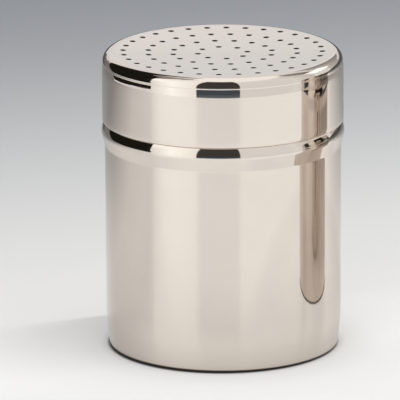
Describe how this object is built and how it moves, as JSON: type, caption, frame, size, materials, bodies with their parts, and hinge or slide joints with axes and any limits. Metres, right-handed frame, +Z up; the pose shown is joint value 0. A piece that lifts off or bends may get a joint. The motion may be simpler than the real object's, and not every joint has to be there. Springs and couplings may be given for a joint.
{
  "type": "spice shaker",
  "caption": "Cylindrical polished stainless shaker with a finely perforated, dished screw lid that seats on a rolled bead.",
  "frame": {"origin": "on the table in the middle of the base, directly under the axis", "axes": "+Z up along the shaker's axis; -Y faces the viewer; the first hole of the inner ring of the lid lies 9 degrees from +X"},
  "size_m": [0.0754, 0.0754, 0.0937],
  "materials": {
    "polished_steel": "polished",
    "plain_steel": "satin",
    "silicone": "matte"
  },
  "bodies": {
    "canister": {"canister": "polished_steel"},
    "seal": {"lid_seal": "silicone"},
    "lid": {"lid_cap": "polished_steel", "lid_thread_ring": "plain_steel"}
  },
  "joints": [
    {"name": "lid_lift", "type": "slide", "parent": "canister", "child": "seal", "axis": [0, 0, 1], "range_m": [0, 0.0225]},
    {"name": "lid_turn", "type": "hinge", "parent": "seal", "child": "lid", "pos_m": [0, 0, 0.08], "axis": [0, 0, 1], "range_deg": [0, 1800]}
  ],
  "couplings": [
    {"joint": "lid_lift", "follows": "lid_turn", "m_per_rad": 0.0007162}
  ]
}
